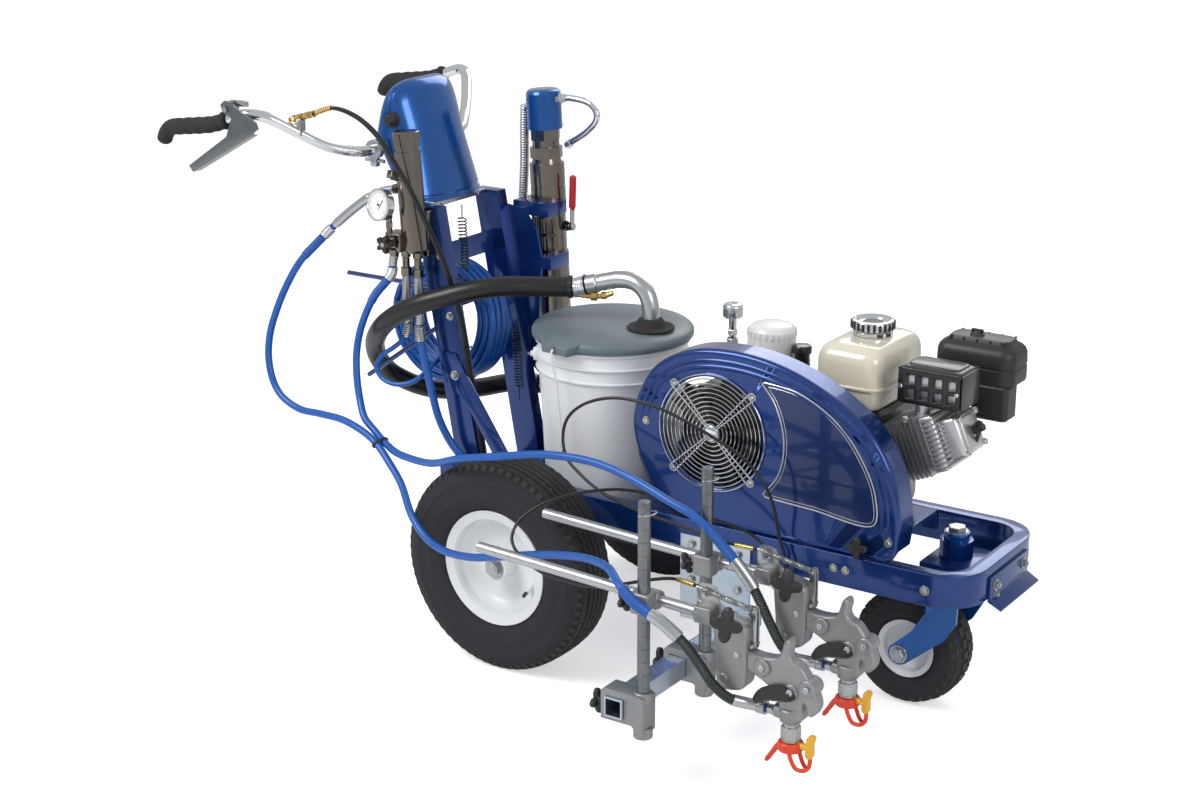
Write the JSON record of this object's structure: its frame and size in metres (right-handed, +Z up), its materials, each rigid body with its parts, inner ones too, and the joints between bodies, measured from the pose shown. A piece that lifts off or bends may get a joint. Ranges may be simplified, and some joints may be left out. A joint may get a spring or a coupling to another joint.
{
  "type": "line striping machine",
  "caption": "Walk-behind line striping machine: engine-driven paint pump, pail, handlebar, rear wheels, front caster and spray guns on a side rack.",
  "frame": {"origin": "bottom centre of the machine's box without its loose hoses and cables, on the ground under the wheels", "axes": "+X forward in the direction of travel, +Y to the machine's left, away from the spray guns, +Z up"},
  "size_m": [1.7434, 0.9803, 1.074],
  "materials": {
    "frame_paint": "gloss metallic deep blue paint",
    "light_blue_paint": "gloss mid blue paint",
    "white_paint": "satin white paint",
    "grey_paint": "satin grey paint",
    "tyre_rubber": "matt black rubber",
    "grip_rubber": "satin black rubber",
    "zinc_plate": "zinc plated steel",
    "chrome_plate": "bright chrome plate",
    "nickel_plate": "polished nickel plate",
    "cast_aluminium": "grey cast aluminium",
    "elbow_aluminium": "satin aluminium tube",
    "black_plastic": "moulded black plastic",
    "black_paint": "satin black paint",
    "grey_plastic": "grey moulded plastic",
    "white_plastic": "white moulded plastic",
    "cream_paint": "gloss cream",
    "orange_plastic": "gloss orange-red plastic",
    "red_plastic": "gloss red vinyl",
    "blue_hose": "gloss blue hose jacket",
    "black_hose": "ribbed black hose",
    "black_cable": "black cable jacket"
  },
  "bodies": {
    "frame": {"frame_loop": "frame_paint", "deck": "frame_paint", "caster_boss": "frame_paint", "rear_axle": "zinc_plate", "near_post": "frame_paint", "far_post": "frame_paint", "control_hood": "light_blue_paint", "handlebar": "chrome_plate", "near_grip": "grip_rubber", "far_grip": "grip_rubber", "filter_body": "nickel_plate", "pressure_gauge": "chrome_plate", "pump_motor": "light_blue_paint", "pump_cylinder": "nickel_plate", "pump_intake": "nickel_plate", "pail": "white_plastic", "pail_lid": "grey_plastic", "suction_elbow": "elbow_aluminium", "hinge_arm": "grey_paint", "engine_block": "cast_aluminium", "fuel_tank": "cream_paint", "muffler": "black_paint", "air_cleaner": "black_plastic", "hydraulic_tank": "black_paint", "oil_filter": "white_paint", "crossbar": "zinc_plate", "near_mast": "zinc_plate", "far_mast": "zinc_plate", "near_gun": "cast_aluminium", "far_gun": "cast_aluminium", "near_gun_hose": "blue_hose", "far_gun_hose": "blue_hose", "suction_hose": "black_hose", "pump_hose": "blue_hose", "coil_lead": "blue_hose", "hose_coil": "blue_hose", "near_gun_cable": "black_cable", "far_gun_cable": "black_cable"},
    "near_wheel": {"near_rim": "white_paint", "near_tyre": "tyre_rubber"},
    "far_wheel": {"far_rim": "white_paint", "far_tyre": "tyre_rubber"},
    "caster": {"caster_fork": "light_blue_paint"},
    "front_wheel": {"front_rim": "white_paint", "front_tyre": "tyre_rubber"},
    "cover": {"belt_cover": "frame_paint", "fan_grille": "chrome_plate"},
    "fan": {"cooling_fan": "black_plastic"},
    "crank": {"engine_pulley": "cast_aluminium"},
    "lever": {"trigger_lever": "zinc_plate"},
    "near_trigger": {"near_trigger": "black_plastic"},
    "far_trigger": {"far_trigger": "black_plastic"},
    "drain": {"drain_knob": "black_plastic"},
    "valve": {"valve_handle": "red_plastic"},
    "pressure": {"pressure_knob": "chrome_plate"},
    "tank_cap": {"fuel_cap": "chrome_plate"},
    "starter": {"starter_grip": "black_plastic"},
    "bail": {"pail_bail": "zinc_plate"},
    "near_tip": {"near_tip_guard": "orange_plastic"},
    "far_tip": {"far_tip_guard": "orange_plastic"}
  },
  "joints": [
    {"name": "near_wheel_spin", "type": "hinge", "parent": "frame", "child": "near_wheel", "pos_m": [-0.05833, -0.16138, 0.21], "axis": [0, 1, 0], "continuous": true},
    {"name": "far_wheel_spin", "type": "hinge", "parent": "frame", "child": "far_wheel", "pos_m": [-0.05833, 0.41362, 0.21], "axis": [0, 1, 0], "continuous": true},
    {"name": "caster_swivel", "type": "hinge", "parent": "frame", "child": "caster", "pos_m": [0.74367, 0.12612, 0.3], "axis": [0, 0, 1], "continuous": true},
    {"name": "front_wheel_spin", "type": "hinge", "parent": "caster", "child": "front_wheel", "pos_m": [0.66767, 0.12612, 0.112], "axis": [0, 1, 0], "continuous": true},
    {"name": "cover_open", "type": "hinge", "parent": "frame", "child": "cover", "pos_m": [0.14967, 0.01612, 0.513], "axis": [0, -1, 0], "range_deg": [0, 40]},
    {"name": "fan_spin", "type": "hinge", "parent": "frame", "child": "fan", "pos_m": [0.32067, -0.00388, 0.507], "axis": [0, 1, 0], "continuous": true},
    {"name": "crank_spin", "type": "hinge", "parent": "frame", "child": "crank", "pos_m": [0.51667, 0.00812, 0.44], "axis": [0, 1, 0], "continuous": true},
    {"name": "lever_squeeze", "type": "hinge", "parent": "frame", "child": "lever", "pos_m": [-0.66533, -0.23388, 1.04], "axis": [0, 1, 0], "range_deg": [0, 18], "stiffness_Nm_per_rad": 0.6},
    {"name": "near_trigger_pull", "type": "hinge", "parent": "frame", "child": "near_trigger", "pos_m": [0.71367, -0.44988, 0.244], "axis": [0, 1, 0], "range_deg": [0, 15]},
    {"name": "far_trigger_pull", "type": "hinge", "parent": "frame", "child": "far_trigger", "pos_m": [0.71367, -0.24688, 0.244], "axis": [0, 1, 0], "range_deg": [0, 15]},
    {"name": "drain_turn", "type": "hinge", "parent": "frame", "child": "drain", "pos_m": [-0.41033, -0.07388, 0.773], "axis": [0, -1, 0], "range_deg": [0, 90]},
    {"name": "valve_turn", "type": "hinge", "parent": "frame", "child": "valve", "pos_m": [-0.23271, 0.31112, 0.757], "axis": [-1, 0, 0], "range_deg": [0, 90]},
    {"name": "pressure_turn", "type": "hinge", "parent": "frame", "child": "pressure", "pos_m": [0.20167, 0.23612, 0.65], "axis": [0, 0, 1], "range_deg": [0, 720]},
    {"name": "cap_turn", "type": "hinge", "parent": "frame", "child": "tank_cap", "pos_m": [0.52767, 0.18812, 0.69], "axis": [0, 0, 1], "range_deg": [0, 90]},
    {"name": "starter_pull", "type": "slide", "parent": "frame", "child": "starter", "axis": [0, 1, 0], "range_m": [0, 0.5], "stiffness_N_per_m": 2},
    {"name": "bail_lift", "type": "hinge", "parent": "frame", "child": "bail", "pos_m": [-0.00633, 0.12612, 0.5653], "axis": [0.8324, 0.5541, 0], "range_deg": [0, 50]},
    {"name": "near_tip_turn", "type": "hinge", "parent": "frame", "child": "near_tip", "pos_m": [0.71267, -0.43388, 0.15], "axis": [0, 0, 1], "range_deg": [-90, 90]},
    {"name": "far_tip_turn", "type": "hinge", "parent": "frame", "child": "far_tip", "pos_m": [0.71267, -0.23088, 0.15], "axis": [0, 0, 1], "range_deg": [-90, 90]}
  ],
  "couplings": [
    {"joint": "crank_spin", "follows": "fan_spin", "ratio": 1.4182},
    {"joint": "near_trigger_pull", "follows": "lever_squeeze", "ratio": 0.83333},
    {"joint": "far_trigger_pull", "follows": "lever_squeeze", "ratio": 0.83333}
  ]
}
